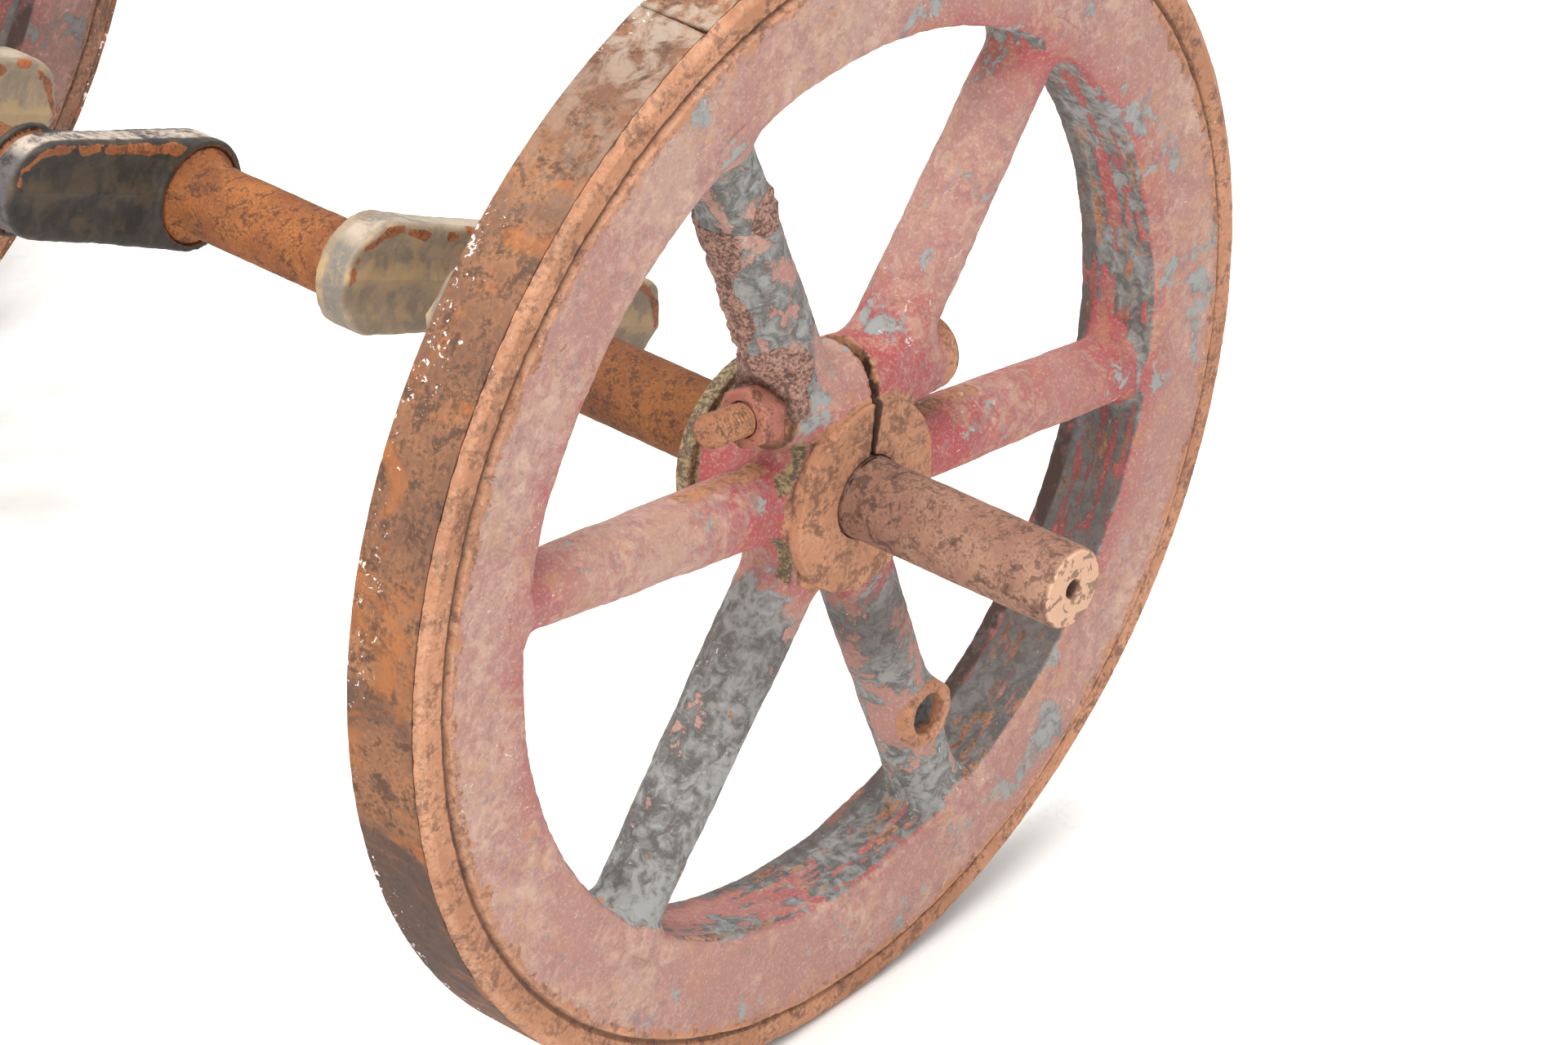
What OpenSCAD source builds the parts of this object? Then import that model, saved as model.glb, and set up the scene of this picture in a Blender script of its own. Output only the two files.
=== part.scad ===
// Two-throw crankshaft with a pair of split-hub, six-spoke flywheels.
// The shaft lies along Y, Z is up, and the origin is on the shaft's centre line at mid-length.
// Angles round the shaft are measured from +Z towards +X.

/* [Shaft] */
// Length over both stub ends
shaft_length = 1020; // [900:1:1300]
// Diameter of the stubs and the centre journal
shaft_diameter = 38; // [30:0.5:50]
// How much larger the wheel seats and outer journals are in radius than the stubs
seat_step = 0.3; // [0.2:0.05:1]
// How far each wheel seat shows beyond the hub
seat_reach = 2; // [1:0.5:6]
// Diameter of both crankpins
pin_diameter = 42; // [34:0.5:56]
// Diameter of the ends that are pressed into the crank arms
spigot_diameter = 30; // [22:0.5:36]
// Chamfer round each stub end
end_chamfer = 1.5; // [0.5:0.1:3]
// Mouth of the lathe centre in each stub end
centre_mouth = 10; // [6:0.5:14]
// Diameter of the lathe centre's pilot hole
centre_pilot = 4; // [2:0.5:5]
// Depth of the pilot hole below the cone
centre_depth = 6; // [3:0.5:12]

/* [Crank] */
// Distance from the shaft's centre line to each crankpin's
throw = 104; // [80:1:130]
// Direction of the far crankpin; the near one is opposite
crank_angle = -66; // [-180:1:180]
// Length of the centre journal between its arms
centre_journal_length = 103; // [60:1:140]
// Length of the near crankpin between its arms
near_pin_length = 42; // [30:1:120]
// Length of the far crankpin between its arms
far_pin_length = 98; // [30:1:120]
// Distance from the middle of the shaft to the middle of the crank
crank_offset = -3.5; // [-20:0.5:20]
// Thickness of a crank arm at its bosses
arm_thickness = 22.5; // [18:0.5:32]
// Metal left behind the blind sockets that the journals are pressed into
socket_floor = 7; // [6:0.5:9]
// How far the arm's rounded ends lie inside its bosses
boss_margin = 0.6; // [0.4:0.1:1.5]
// Diameter of the boss at the main-journal end
main_boss_diameter = 57; // [52:1:70]
// Diameter of the boss at the crankpin end
pin_boss_diameter = 49; // [46:1:64]
// Width of the arm beside its main boss
arm_main_width = 54; // [44:1:60]
// Width of the arm beside its pin boss
arm_pin_width = 46; // [40:1:56]
// How far each face of the arm lies below the boss faces
arm_face_drop = 1.5; // [0.5:0.25:3]
// Radius of the two hollows along each face of the arm
flute_radius = 21; // [16:0.5:40]
// Depth of those hollows
flute_depth = 2.5; // [1:0.25:4]
// Diameter of the shoulder where a journal meets an arm
collar_diameter = 49; // [44:0.5:54]
// Depth of the recess that the shoulder sits in
collar_recess = 2; // [1:0.25:4]
// Length of the slope from the shoulder down to the journal
collar_slope = 3; // [1:0.25:5]

/* [Wheels] */
// Diameter over the tyre
wheel_diameter = 560; // [480:1:700]
// Distance between the middles of the two rims
wheel_spacing = 729; // [680:1:860]
// Width of the tread
tread_width = 41.5; // [30:0.5:60]
// Depth of the rim from the tread to its inner surface
rim_depth = 66.5; // [40:0.5:90]
// How far the painted side of the rim stands out from the turned band
face_step = 2; // [0.5:0.25:4]
// Width of the turned band and its chamfer on the side of the rim
band_width = 16.5; // [10:0.5:24]
// Rounding of the rim's inner edges
rim_edge_radius = 6; // [2:0.5:10]
// Number of spokes
spoke_count = 6; // [6]
// Direction of the first spoke
spoke_angle = -20; // [-60:1:60]
// Spoke diameter beside the hub
spoke_hub_diameter = 37; // [28:0.5:40]
// Spoke diameter beside the rim
spoke_rim_diameter = 32.5; // [24:0.5:38]
// Length of the flare at each end of a spoke
spoke_flare = 12; // [4:1:20]
// How much the flare widens the spoke
spoke_flare_growth = 4; // [1:0.5:5]
// How far the spokes lie outward from the middle of the rim
spoke_offset = 4; // [0:0.5:8]

/* [Hub] */
// Diameter of the turned bosses at both ends of the hub
hub_boss_diameter = 91; // [80:1:110]
// Length of each turned boss
hub_boss_length = 8; // [4:0.5:14]
// Diameter of the cast barrel between them
hub_barrel_diameter = 83; // [74:1:100]
// Reach of the outer boss face beyond the tread's edge
hub_outer_reach = 8.5; // [4:0.5:20]
// Reach of the inner boss face beyond the tread's edge
hub_inner_reach = 23.5; // [10:0.5:40]
// Gap all round between the shaft and the hub bore with the clamp slack
bore_clearance = 0.05; // [0.02:0.01:0.1]
// Width of the hub's slot at the outside
slot_outer_width = 6; // [4:0.5:9]
// Width of the slot where it meets the bore
slot_inner_width = 2.5; // [1:0.5:4]
// Direction of the clamp bolt's side of the hub
clamp_angle = 10; // [-50:1:70]
// Height of the clamp bolt above the shaft's centre line
bolt_height = 45; // [38:0.5:60]
// Diameter of the lugs beside the slot
lug_diameter = 46; // [38:1:56]
// Diameter of the lugs at their ends
lug_end_diameter = 36; // [34:0.5:44]
// Reach of the lug under the bolt head, from the slot's middle
head_lug_reach = 66; // [50:1:80]
// Reach of the lug under the nut, from the slot's middle
nut_lug_reach = 49; // [40:1:70]

/* [Tyre] */
// Thickness of the steel tyre
tyre_thickness = 4; // [2:0.5:8]
// Width of the cast lip in front of the tyre
tyre_lip = 3.5; // [2:0.5:6]
// Chamfer on that lip, measured towards the shaft
lip_chamfer = 5.5; // [1:0.5:8]
// Gap where the tyre's ends meet
tyre_gap = 1.5; // [0.5:0.25:4]
// Direction of that gap
tyre_gap_angle = -19; // [-180:1:180]

/* [Clamp bolt] */
// Diameter over the thread
bolt_diameter = 16; // [12:0.5:20]
// Gap all round between the bolt and the nut that turns on it
nut_clearance = 0.05; // [0.02:0.01:0.1]
// Gap all round between the bolt and its hole
bolt_clearance = 0.5; // [0.2:0.1:1]
// Diameter of the round head
head_diameter = 34; // [26:0.5:42]
// Height of the round head
head_height = 7; // [4:0.5:12]
// Distance between the nut's flats
nut_across_flats = 26; // [20:0.5:32]
// Room for the nut's corners where the casting is cut back round them
nut_turning_room = 1.5; // [0.5:0.25:3]
// Height of the nut
nut_height = 15; // [10:0.5:20]
// Length of thread that shows beyond the nut
thread_end = 24; // [4:1:40]
// Distance from one thread ridge to the next
thread_pitch = 2.3; // [1.5:0.1:3]
// Depth of the thread
thread_depth = 1.2; // [0.5:0.1:1.5]

/* [Handle hole] */
// Distance of the handle hole from the shaft's centre line
handle_radius = 155; // [120:1:180]
// Number of the spoke that carries it
handle_spoke = 3; // [0:1:5]
// Diameter of the boss round the hole
handle_boss_diameter = 33; // [28:0.5:42]
// Diameter of the hole
handle_hole_diameter = 20; // [12:0.5:24]
// Depth of the hole
handle_hole_depth = 12; // [6:0.5:20]
// How far the boss face stands out from the painted side of the rim
handle_boss_reach = 0.5; // [0:0.25:6]

/* [Quality] */
// Facets round a circle
facets = 96; // [24:8:160]

/* [Hidden] */
$fn = facets;
eps = 0.01;
cut = 1;
shaft_r = shaft_diameter / 2;
seat_r = shaft_r + seat_step;
pin_r = pin_diameter / 2;
spigot_r = spigot_diameter / 2;
collar_r = collar_diameter / 2;
half_length = shaft_length / 2;
crank_length = 4 * arm_thickness + near_pin_length + centre_journal_length + far_pin_length;
near_outer_arm_y = crank_offset - crank_length / 2;
near_pin_y = near_outer_arm_y + arm_thickness;
near_inner_arm_y = near_pin_y + near_pin_length;
centre_journal_y = near_inner_arm_y + arm_thickness;
far_inner_arm_y = centre_journal_y + centre_journal_length;
far_pin_y = far_inner_arm_y + arm_thickness;
far_outer_arm_y = far_pin_y + far_pin_length;
far_shaft_y = far_outer_arm_y + arm_thickness;
centre_slope = (centre_mouth - centre_pilot) / 2 * sqrt(3);
arm_body = arm_thickness - 2 * arm_face_drop;
main_boss_r = main_boss_diameter / 2;
pin_boss_r = pin_boss_diameter / 2;
spigot_length = arm_thickness - socket_floor;
flute_half = sqrt(flute_radius ^ 2 - (flute_radius - flute_depth) ^ 2);
wheel_r = wheel_diameter / 2;
casting_r = wheel_r - tyre_thickness;
rim_inner_r = wheel_r - rim_depth;
tread_half = tread_width / 2;
face_half = tread_half + face_step;
band_r = wheel_r - band_width;
bore_r = seat_r + bore_clearance;
barrel_r = hub_barrel_diameter / 2;
hub_outer_y = -tread_half - hub_outer_reach;
hub_inner_y = tread_half + hub_inner_reach;
spoke_y = -spoke_offset;
spoke_hub_r = spoke_hub_diameter / 2;
spoke_rim_r = spoke_rim_diameter / 2;
spoke_start = barrel_r - spoke_hub_r / 2;
spoke_end = rim_inner_r + spoke_rim_r / 2;
lug_r = lug_diameter / 2;
lug_end_r = lug_end_diameter / 2;
lug_root = lug_diameter - 3;
bolt_r = bolt_diameter / 2;
bolt_hole_r = bolt_r + bolt_clearance;
nut_face = -nut_lug_reach - nut_height;
bolt_end = nut_face - thread_end;
thread_turns = floor((-nut_lug_reach - bolt_end) / thread_pitch) - 1;
head_dome_r = (head_diameter ^ 2 / 4 + head_height ^ 2) / (2 * head_height);
handle_y = -face_half - handle_boss_reach;
spot_face_r = nut_across_flats / 2 / cos(30) + nut_turning_room;
seat_y = -wheel_spacing / 2 + hub_outer_y - seat_reach;

// ---- general helpers -------------------------------------------------------

// Turns its children, drawn upright along +Z, to an angle round the shaft
module at_angle(a) rotate([0, a, 0]) children();

// A bar along Y from y0, of the given length
module y_bar(y0, length, r) translate([0, y0, 0]) rotate([-90, 0, 0]) cylinder(h = length, r = r);

// A cone along Y from y0, which goes from r0 to r1
module y_cone(y0, length, r0, r1) {
  translate([0, y0, 0]) rotate([-90, 0, 0]) cylinder(h = length, r1 = r0, r2 = r1);
}

// A cone along X from x0, which goes from r0 to r1
module x_cone(x0, length, r0, r1) {
  translate([x0, 0, 0]) rotate([0, 90, 0]) cylinder(h = length, r1 = r0, r2 = r1);
}

// A profile drawn as (radius, y) and turned round the shaft
module turned() rotate([-90, 0, 0]) mirror([0, 1, 0]) rotate_extrude() children();

// ---- crankshaft ------------------------------------------------------------

// Shoulder that steps from an arm's recess down to a journal of radius r; side is 1 towards +Y
module collar(y_face, side, r) {
  translate([0, y_face, 0]) scale([1, side, 1]) {
    y_bar(-collar_recess, collar_recess, collar_r);
    y_cone(0, collar_slope, collar_r - 1, r - eps);
  }
}

// A journal between two arm faces, with shoulders and spigots at both ends
module journal(y0, length, r) {
  y_bar(y0, length, r);
  y_bar(y0 - spigot_length, length + 2 * spigot_length, spigot_r);
  collar(y0, 1, r);
  collar(y0 + length, -1, r);
}

// The cone and pilot hole that a lathe centre runs in, open towards -Y
module lathe_centre(y_face) {
  y_cone(y_face - eps, centre_slope, centre_mouth / 2, centre_pilot / 2);
  y_bar(y_face, centre_slope + centre_depth, centre_pilot / 2);
}

// One half of the shaft, from its stub end at -Y to the outer arm's face
module half_shaft(arm_face_y) {
  difference() {
    union() {
      y_cone(-half_length, end_chamfer, shaft_r - end_chamfer, shaft_r);
      y_bar(-half_length + end_chamfer, seat_y + half_length - end_chamfer + eps, shaft_r);
      y_bar(seat_y, arm_face_y - seat_y, seat_r);
      y_bar(arm_face_y - eps, spigot_length + eps, spigot_r);
      collar(arm_face_y, -1, seat_r);
    }
    lathe_centre(-half_length);
  }
}

// Outline of the arm's middle, from the main journal at the origin up to the crankpin
module arm_outline() {
  polygon([
    [-arm_main_width / 2, 0], [-arm_pin_width / 2, throw],
    [arm_pin_width / 2, throw], [arm_main_width / 2, 0]
  ]);
}

// The two hollows along one face of the arm, which lies in the plane z = 0 and looks up
module arm_flutes() {
  for (x = [-flute_half, flute_half])
    translate([x, -main_boss_r - cut, flute_radius - flute_depth])
      rotate([-90, 0, 0]) cylinder(h = throw + main_boss_r + pin_boss_r + 2 * cut, r = flute_radius);
}

// The arm between and behind its bosses, standing up from the shaft with its lower face at y = 0
module arm_web() {
  difference() {
    union() {
      translate([0, arm_face_drop + arm_body, 0])
        rotate([90, 0, 0]) linear_extrude(height = arm_body) arm_outline();
      y_bar(arm_face_drop, arm_body, main_boss_r - boss_margin);
      translate([0, 0, throw]) y_bar(arm_face_drop, arm_body, pin_boss_r - boss_margin);
    }
    translate([0, arm_face_drop, 0]) rotate([90, 0, 0]) arm_flutes();
    translate([0, arm_face_drop + arm_body, 0]) rotate([-90, 0, 0]) mirror([0, 1, 0]) arm_flutes();
  }
}

// A boss on the side of the arm where a journal or crankpin meets it; side is 1 towards +Y
module end_boss(r, side) y_bar(side > 0 ? arm_thickness / 2 : 0, arm_thickness / 2, r);

// The recess for a journal's shoulder and the blind socket for its spigot
module end_socket(side) {
  y_bar(side > 0 ? arm_thickness - collar_recess : -cut, collar_recess + cut, collar_r);
  y_bar(side > 0 ? socket_floor : -cut, spigot_length + cut, spigot_r);
}

// A crank arm at y0; main_side and pin_side are 1 or -1, towards the piece that meets it there
module crank_arm(y0, a, main_side, pin_side) {
  translate([0, y0, 0]) at_angle(a) difference() {
    union() {
      arm_web();
      end_boss(main_boss_r, main_side);
      translate([0, 0, throw]) end_boss(pin_boss_r, pin_side);
    }
    end_socket(main_side);
    translate([0, 0, throw]) end_socket(pin_side);
  }
}

// ---- wheel, drawn with the middle of its rim at y = 0 and its outer side towards -Y ---------

// Section of the cast rim on the outer half, as (radius, distance from the middle)
module rim_half_section() {
  round_r = rim_inner_r + rim_edge_radius;
  translate([round_r, 0]) square([band_r - round_r, face_half]);
  translate([rim_inner_r, 0]) square([rim_edge_radius + eps, face_half - rim_edge_radius]);
  translate([round_r, face_half - rim_edge_radius]) circle(rim_edge_radius);
  translate([band_r - eps, 0]) square([casting_r - band_r + eps, tread_half]);
}

// The lip in front of the tyre, with its chamfer
module rim_lip() {
  polygon([
    [casting_r - lip_chamfer, -tread_half + eps], [casting_r - eps, -tread_half + tyre_lip],
    [wheel_r, -tread_half + tyre_lip], [wheel_r - lip_chamfer, -tread_half]
  ]);
}

module rim() {
  turned() {
    rim_half_section();
    mirror([0, 1]) rim_half_section();
    rim_lip();
  }
}

// One spoke that stands up from the shaft
module spoke() {
  length = spoke_end - spoke_start;
  flare_r = spoke_flare_growth / 2;
  hub_flare_end = barrel_r + spoke_flare;
  rim_flare_start = rim_inner_r - spoke_flare;
  translate([0, spoke_y, 0]) {
    translate([0, 0, spoke_start]) cylinder(h = length, r1 = spoke_hub_r, r2 = spoke_rim_r);
    translate([0, 0, barrel_r - cut])
      cylinder(h = spoke_flare + cut, r1 = spoke_hub_r + flare_r, r2 = spoke_hub_r - eps);
    translate([0, 0, rim_flare_start])
      cylinder(h = spoke_flare + cut, r1 = spoke_rim_r + eps, r2 = spoke_rim_r + flare_r);
  }
}

// Boss for the handle, as part of the spoke that stands up from the shaft
module handle_boss() {
  translate([0, 0, handle_radius]) y_bar(handle_y, spoke_y - handle_y, handle_boss_diameter / 2);
}

module handle_hole() {
  translate([0, 0, handle_radius]) y_bar(handle_y - cut, handle_hole_depth + cut, handle_hole_diameter / 2);
}

// Lugs on both sides of the slot, which carry the clamp bolt across it
module clamp_lugs() {
  translate([0, spoke_y, bolt_height]) {
    x_cone(0, head_lug_reach, lug_r, lug_end_r);
    scale([-1, 1, 1]) x_cone(0, nut_lug_reach, lug_r, lug_end_r);
  }
  translate([-lug_root / 2, spoke_y - lug_root / 2, 0]) cube([lug_root, lug_root, bolt_height]);
}

// The slot, which narrows from the outside to the bore
module clamp_slot() {
  top = bolt_height + lug_r + cut;
  translate([0, hub_inner_y + cut, 0]) rotate([90, 0, 0])
    linear_extrude(height = hub_inner_y - hub_outer_y + 2 * cut)
      polygon([
        [-slot_inner_width / 2, 0], [-slot_outer_width / 2, top],
        [slot_outer_width / 2, top], [slot_inner_width / 2, 0]
      ]);
}

module hub_body() {
  y_bar(hub_outer_y, hub_boss_length, hub_boss_diameter / 2);
  y_bar(hub_outer_y + cut, hub_inner_y - hub_outer_y - 2 * cut, barrel_r);
  y_bar(hub_inner_y - hub_boss_length, hub_boss_length, hub_boss_diameter / 2);
  at_angle(clamp_angle) clamp_lugs();
}

module wheel() {
  difference() {
    union() {
      rim();
      for (i = [0 : spoke_count - 1]) at_angle(spoke_angle + i * 360 / spoke_count) spoke();
      hub_body();
      at_angle(spoke_angle + handle_spoke * 360 / spoke_count) handle_boss();
    }
    y_bar(hub_outer_y - cut, hub_inner_y - hub_outer_y + 2 * cut, bore_r);
    at_angle(clamp_angle) clamp_slot();
    on_clamp_line() {
      x_cone(-nut_lug_reach - lug_r, nut_lug_reach + head_lug_reach + 2 * lug_r, bolt_hole_r, bolt_hole_r);
      scale([-1, 1, 1]) x_cone(nut_lug_reach, nut_height + thread_end, spot_face_r, spot_face_r);
    }
    at_angle(spoke_angle + handle_spoke * 360 / spoke_count) handle_hole();
  }
}

// The steel tyre behind the rim's lip, cut through where its ends meet
module tyre() {
  difference() {
    turned() translate([casting_r, -tread_half + tyre_lip]) square([tyre_thickness, tread_width - tyre_lip]);
    at_angle(tyre_gap_angle)
      translate([-tyre_gap / 2, -tread_width, casting_r - cut])
        cube([tyre_gap, 2 * tread_width, tyre_thickness + 2 * cut]);
  }
}

// Places its children, drawn along X, on the clamp bolt's centre line
module on_clamp_line() at_angle(clamp_angle) translate([0, spoke_y, bolt_height]) children();

// Section of the bolt as (radius, distance along it), with its thread as round ridges
module bolt_section() {
  root_r = bolt_r - thread_depth;
  polygon(concat(
    [[0, bolt_end], [root_r, bolt_end]],
    [for (i = [0 : thread_turns], crest = [0, 1])
      [crest == 1 ? bolt_r : root_r, bolt_end + (i + (crest + 1) / 2) * thread_pitch]],
    [[bolt_r, head_lug_reach + eps], [0, head_lug_reach + eps]]
  ));
  intersection() {
    translate([0, head_lug_reach]) square([head_diameter / 2, head_height]);
    translate([0, head_lug_reach + head_height - head_dome_r]) circle(head_dome_r);
  }
}

module clamp_bolt() on_clamp_line() rotate([0, 90, 0]) rotate_extrude() bolt_section();

module clamp_nut() {
  on_clamp_line() translate([nut_face, 0, 0]) rotate([0, 90, 0]) difference() {
    intersection() {
      cylinder(h = nut_height, d = nut_across_flats / cos(30), $fn = 6);
      cylinder(h = nut_height, r1 = nut_across_flats / 2, r2 = nut_across_flats / 2 + nut_height);
    }
    translate([0, 0, -cut]) cylinder(h = nut_height + 2 * cut, r = bolt_r + nut_clearance);
  }
}

// ---- placing ---------------------------------------------------------------

module at_near_wheel() translate([0, -wheel_spacing / 2, 0]) children();
module at_far_wheel() translate([0, wheel_spacing / 2, 0]) mirror([0, 1, 0]) children();
module on_far_pin() at_angle(crank_angle) translate([0, 0, throw]) children();
module on_near_pin() at_angle(crank_angle + 180) translate([0, 0, throw]) children();

module near_shaft() color("#a5663a") half_shaft(near_outer_arm_y);
module near_outer_arm() color("#6f5a45") crank_arm(near_outer_arm_y, crank_angle + 180, -1, 1);
module near_crankpin() color("#a4602e") on_near_pin() journal(near_pin_y, near_pin_length, pin_r);
module near_inner_arm() color("#6b6456") crank_arm(near_inner_arm_y, crank_angle + 180, 1, -1);
module centre_journal() color("#a85c28") journal(centre_journal_y, centre_journal_length, shaft_r);
module far_inner_arm() color("#45413d") crank_arm(far_inner_arm_y, crank_angle, -1, 1);
module far_crankpin() color("#a4602e") on_far_pin() journal(far_pin_y, far_pin_length, pin_r);
module far_outer_arm() color("#7d6b54") crank_arm(far_outer_arm_y, crank_angle, 1, -1);
module far_shaft() color("#a5663a") mirror([0, 1, 0]) half_shaft(-far_shaft_y);
module near_wheel() color("#a06a66") at_near_wheel() wheel();
module near_tyre() color("#7a4c30") at_near_wheel() tyre();
module near_clamp_bolt() color("#8a5a3c") at_near_wheel() clamp_bolt();
module near_clamp_nut() color("#93534a") at_near_wheel() clamp_nut();
module far_wheel() color("#a06a66") at_far_wheel() wheel();
module far_tyre() color("#7a4c30") at_far_wheel() tyre();
module far_clamp_bolt() color("#8a5a3c") at_far_wheel() clamp_bolt();
module far_clamp_nut() color("#93534a") at_far_wheel() clamp_nut();

near_shaft();
near_outer_arm();
near_crankpin();
near_inner_arm();
centre_journal();
far_inner_arm();
far_crankpin();
far_outer_arm();
far_shaft();
near_wheel();
near_tyre();
near_clamp_bolt();
near_clamp_nut();
far_wheel();
far_tyre();
far_clamp_bolt();
far_clamp_nut();
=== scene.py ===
import math

import bpy
import numpy as np
from mathutils import Matrix, Vector, noise


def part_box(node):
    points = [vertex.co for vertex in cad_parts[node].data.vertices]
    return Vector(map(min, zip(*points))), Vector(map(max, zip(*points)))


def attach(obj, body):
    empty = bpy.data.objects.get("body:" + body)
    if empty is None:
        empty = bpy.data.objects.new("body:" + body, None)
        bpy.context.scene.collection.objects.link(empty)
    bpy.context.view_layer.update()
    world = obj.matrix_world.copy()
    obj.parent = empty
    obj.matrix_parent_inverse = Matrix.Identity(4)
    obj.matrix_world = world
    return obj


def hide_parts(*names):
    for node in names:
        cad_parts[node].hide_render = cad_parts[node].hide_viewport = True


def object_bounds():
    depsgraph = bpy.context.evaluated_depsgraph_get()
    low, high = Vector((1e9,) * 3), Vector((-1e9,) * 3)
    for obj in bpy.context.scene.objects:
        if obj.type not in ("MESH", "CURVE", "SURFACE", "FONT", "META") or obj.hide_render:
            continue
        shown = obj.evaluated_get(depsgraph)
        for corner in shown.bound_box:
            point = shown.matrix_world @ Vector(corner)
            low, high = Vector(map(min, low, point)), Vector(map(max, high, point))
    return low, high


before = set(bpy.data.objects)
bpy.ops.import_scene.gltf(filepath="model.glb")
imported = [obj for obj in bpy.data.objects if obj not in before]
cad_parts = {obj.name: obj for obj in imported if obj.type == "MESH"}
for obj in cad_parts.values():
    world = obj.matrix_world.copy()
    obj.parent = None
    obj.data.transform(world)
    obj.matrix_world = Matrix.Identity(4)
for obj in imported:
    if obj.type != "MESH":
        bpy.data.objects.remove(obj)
cad_low, cad_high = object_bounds()

# Shapes are worked out in millimetres and become metres in make_piece().
# Angles round the shaft are measured from +Z towards +X, as in the CAD model.
MM = 0.001


def extent(node):
    low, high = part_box(node)
    return np.array(low) / MM, np.array(high) / MM


# ---- sizes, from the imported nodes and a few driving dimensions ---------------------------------

WHEEL_R = extent("near_wheel")[1][2]
TYRE_LOW, TYRE_HIGH = extent("near_tyre")
TYRE_T, TYRE_LIP = 4.0, 3.5
TYRE_JOINT = math.radians(-19)
TREAD_W = TYRE_HIGH[1] - TYRE_LOW[1] + TYRE_LIP
TREAD_HALF = TREAD_W / 2
RIM_MID = TYRE_HIGH[1] - TREAD_HALF
FACE_HALF = TREAD_HALF + 2.0
RIM_INNER_R = WHEEL_R - 66.5
BAND_R = WHEEL_R - 16.5
HUB_R = 41.5
BOSS_R, BOSS_W = 45.5, 8.0
HUB_OUTER = extent("near_wheel")[0][1] - RIM_MID
HUB_INNER = extent("near_wheel")[1][1] - RIM_MID
SPOKES = 6
SPOKE_PITCH = 2 * math.pi / SPOKES
SPOKE_ANGLE = math.radians(-20)
SPOKE_Y = -4.0
SPOKE_HUB_R, SPOKE_RIM_R = 18.5, 16.25
HANDLE_SPOKE = 3
HANDLE_ANGLE = SPOKE_ANGLE + HANDLE_SPOKE * SPOKE_PITCH
HANDLE_R = 155.0
HANDLE_BOSS_R, HANDLE_HOLE_R, HANDLE_HOLE_DEPTH = 16.5, 10.0, 12.0
HANDLE_FACE = -FACE_HALF - 0.5

CLAMP_ANGLE = math.radians(10)
LUG_R, LUG_END_R = 23.0, 18.0
BOLT_HEIGHT = 45.0
BOLT_R = 8.0
BOLT_HOLE_R = BOLT_R + 0.5
HEAD_R, HEAD_H, HEAD_REACH = 17.0, 7.0, 66.0
NUT_FLATS, NUT_H, NUT_REACH = 26.0, 15.0, 49.0
SPOT_FACE_R = 16.4
THREAD_END, THREAD_PITCH, THREAD_DEPTH = 24.0, 2.3, 1.05

HALF_LENGTH = -extent("near_shaft")[0][1]
SHAFT_R = 19.0
SEAT_R = SHAFT_R + 0.3
CAST_BORE_R = SEAT_R + 0.35
PIN_R = 21.0
COLLAR_R = 24.5
ARM_T = 22.5
ARM_MAIN_R, ARM_PIN_R = 28.4, 24.4
THROW = 104.0
CRANK_ANGLE = math.radians(-66)

WHEEL_SEGMENTS = 900
CAST_STEP = 1.6
ARM_STEP = 1.1
NUT_STEP = 0.6
BOLT_SEGMENTS, JOURNAL_SEGMENTS, SHAFT_SEGMENTS = 64, 96, 112

# Seeds of the surface noise, one for each kind of piece
SEED_CASTING, SEED_CAST_SKIN, SEED_BOSS, SEED_TYRE = 3.0, 9.0, 15.0, 21.0
SEED_BOLT, SEED_NUT, SEED_ARM, SEED_JOURNAL, SEED_SHAFT = 31.0, 35.0, 40.0, 50.0, 60.0


# ---- signed distances -----------------------------------------------------------------------

def blend_min(a, b, k):
    """Union of two solids with a fillet of about k between them."""
    h = np.clip(0.5 + 0.5 * (b - a) / k, 0, 1)
    return b * (1 - h) + a * h - k * h * (1 - h)


def blend_max(a, b, k):
    """Intersection of two solids with an edge rounded by about k."""
    return -blend_min(-a, -b, k)


def disc(radius, y, r, y0, y1, edge=1.0):
    """A round slab along Y from y0 to y1, with rounded edges."""
    dr = radius - (r - edge)
    dy = np.abs(y - (y0 + y1) / 2) - ((y1 - y0) / 2 - edge)
    outside = np.hypot(np.maximum(dr, 0), np.maximum(dy, 0))
    return outside + np.minimum(np.maximum(dr, dy), 0) - edge


# ---- surfaces from signed distances -----------------------------------------------------------

def gradient(sdf, p, h=0.25):
    g = np.empty_like(p)
    for i in range(3):
        q = p.copy()
        q[:, i] += h
        ahead = sdf(*q.T)
        q[:, i] -= 2 * h
        g[:, i] = (ahead - sdf(*q.T)) / (2 * h)
    return g


def onto(sdf, p, rounds=3):
    """Moves points onto the surface where sdf is 0."""
    for _ in range(rounds):
        g = gradient(sdf, p)
        length = np.maximum((g * g).sum(1), 0.05)
        move = np.clip(sdf(*p.T) / length, -1.5, 1.5)
        p = p - move[:, None] * g
    return p


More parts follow.
